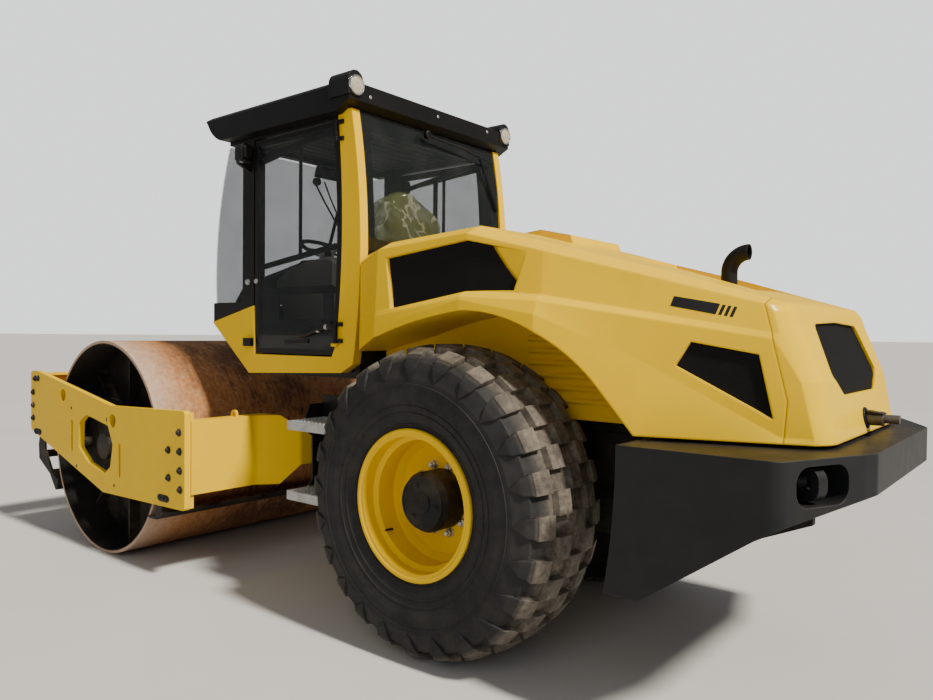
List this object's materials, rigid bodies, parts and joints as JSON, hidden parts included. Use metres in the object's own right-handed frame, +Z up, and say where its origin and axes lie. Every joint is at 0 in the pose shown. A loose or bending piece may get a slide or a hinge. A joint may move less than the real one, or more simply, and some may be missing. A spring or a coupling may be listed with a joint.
{
  "type": "single-drum road roller",
  "caption": "Articulated single-drum soil roller with a closed cab, two rubber tyres, a smooth steel drum in a yoke frame, a lifting engine hood and a rear ballast.",
  "frame": {"origin": "ground level, under the middle of the machine's length and width", "axes": "+X forward towards the drum, +Y to the left side, +Z up"},
  "size_m": [5.901, 2.25, 3.0448],
  "materials": {
    "frame_yellow": "gloss",
    "hood_yellow": "gloss",
    "cab_yellow": "gloss",
    "anthracite": "satin",
    "chassis_black": "satin",
    "cab_black": "gloss",
    "roof_black": "satin",
    "interior": "matt",
    "seat_cover": "matt",
    "glass": "clear",
    "grille": "matt",
    "tyre": "matt",
    "rubber": "matt",
    "step_grey": "satin",
    "drum_steel": "rusty",
    "drum_black": "satin",
    "steel": "bright",
    "chrome": "polished",
    "lamp": "gloss",
    "engine_grey": "matt"
  },
  "bodies": {
    "rear_frame": {"rear_chassis": "chassis_black", "rear_axle": "chassis_black", "rear_ballast": "anthracite", "engine_block": "engine_grey", "hood_portal": "chassis_black", "cab_floor": "cab_black", "cab_mounts": "rubber", "cab_side_left": "cab_yellow", "cab_side_right": "cab_yellow", "cab_frame": "cab_black", "rear_window": "glass", "front_glass": "glass", "door_hinges": "cab_black", "cab_roof": "roof_black", "work_lamps": "lamp", "dash": "interior", "seat": "seat_cover", "steps": "step_grey"},
    "hood": {"hood_front_shell": "hood_yellow", "hood_tail": "hood_yellow", "wheelhouses": "hood_yellow", "hood_grilles": "grille", "exhaust_stack": "chassis_black", "hood_latch": "steel"},
    "door_left": {"door_frame_left": "cab_black", "door_glass_left": "glass"},
    "door_right": {"door_frame_right": "cab_black", "door_glass_right": "glass"},
    "wheel_left": {"tyre_left": "tyre", "rim_left": "frame_yellow", "hub_left": "chassis_black"},
    "wheel_right": {"tyre_right": "tyre", "rim_right": "frame_yellow", "hub_right": "chassis_black"},
    "link": {"centre_link": "chassis_black"},
    "drum_frame": {"side_plate_left": "frame_yellow", "side_plate_right": "frame_yellow", "rear_beam": "frame_yellow", "front_beam": "frame_yellow", "scrapers": "chassis_black", "drum_supports": "drum_black"},
    "drum": {"drum_shell": "drum_steel", "drum_discs": "drum_black"},
    "barrel_left": {"steer_barrel_left": "chassis_black"},
    "rod_left": {"steer_rod_left": "chrome"},
    "barrel_right": {"steer_barrel_right": "chassis_black"},
    "rod_right": {"steer_rod_right": "chrome"}
  },
  "joints": [
    {"name": "steer", "type": "hinge", "parent": "rear_frame", "child": "link", "pos_m": [0.4005, 0, 0.76], "axis": [0, 0, 1], "range_deg": [-35, 35]},
    {"name": "oscillation", "type": "hinge", "parent": "link", "child": "drum_frame", "pos_m": [0.4005, 0, 0.76], "axis": [1, 0, 0], "range_deg": [-12, 12]},
    {"name": "drum_spin", "type": "hinge", "parent": "drum_frame", "child": "drum", "pos_m": [1.8805, 0, 0.75], "axis": [0, 1, 0], "continuous": true},
    {"name": "wheel_left_spin", "type": "hinge", "parent": "rear_frame", "child": "wheel_left", "pos_m": [-1.0795, 0.775, 0.76], "axis": [0, 1, 0], "continuous": true},
    {"name": "wheel_right_spin", "type": "hinge", "parent": "rear_frame", "child": "wheel_right", "pos_m": [-1.0795, -0.775, 0.76], "axis": [0, 1, 0], "continuous": true},
    {"name": "hood_lift", "type": "hinge", "parent": "rear_frame", "child": "hood", "pos_m": [-0.3895, 0, 1.985], "axis": [0, 1, 0], "range_deg": [0, 50]},
    {"name": "door_left_swing", "type": "hinge", "parent": "rear_frame", "child": "door_left", "pos_m": [-0.1575, 0.706, 2], "axis": [0, 0, 1], "range_deg": [0, 90]},
    {"name": "door_right_swing", "type": "hinge", "parent": "rear_frame", "child": "door_right", "pos_m": [-0.1575, -0.706, 2], "axis": [0, 0, -1], "range_deg": [0, 90]},
    {"name": "barrel_left_pivot", "type": "hinge", "parent": "rear_frame", "child": "barrel_left", "pos_m": [-0.0795, 0.192, 0.81], "axis": [0, 0, 1], "range_deg": [-2, 2]},
    {"name": "rod_left_slide", "type": "slide", "parent": "barrel_left", "child": "rod_left", "axis": [0.9999, 0.0167, 0], "range_m": [-0.12, 0.12]},
    {"name": "barrel_right_pivot", "type": "hinge", "parent": "rear_frame", "child": "barrel_right", "pos_m": [-0.0795, -0.192, 0.81], "axis": [0, 0, 1], "range_deg": [-2, 2]},
    {"name": "rod_right_slide", "type": "slide", "parent": "barrel_right", "child": "rod_right", "axis": [0.9999, -0.0167, 0], "range_m": [-0.12, 0.12]}
  ],
  "couplings": [
    {"joint": "barrel_left_pivot", "follows": "steer", "ratio": -0.022},
    {"joint": "barrel_right_pivot", "follows": "steer", "ratio": -0.022},
    {"joint": "rod_left_slide", "follows": "steer", "m_per_rad": -0.188},
    {"joint": "rod_right_slide", "follows": "steer", "m_per_rad": 0.188}
  ]
}
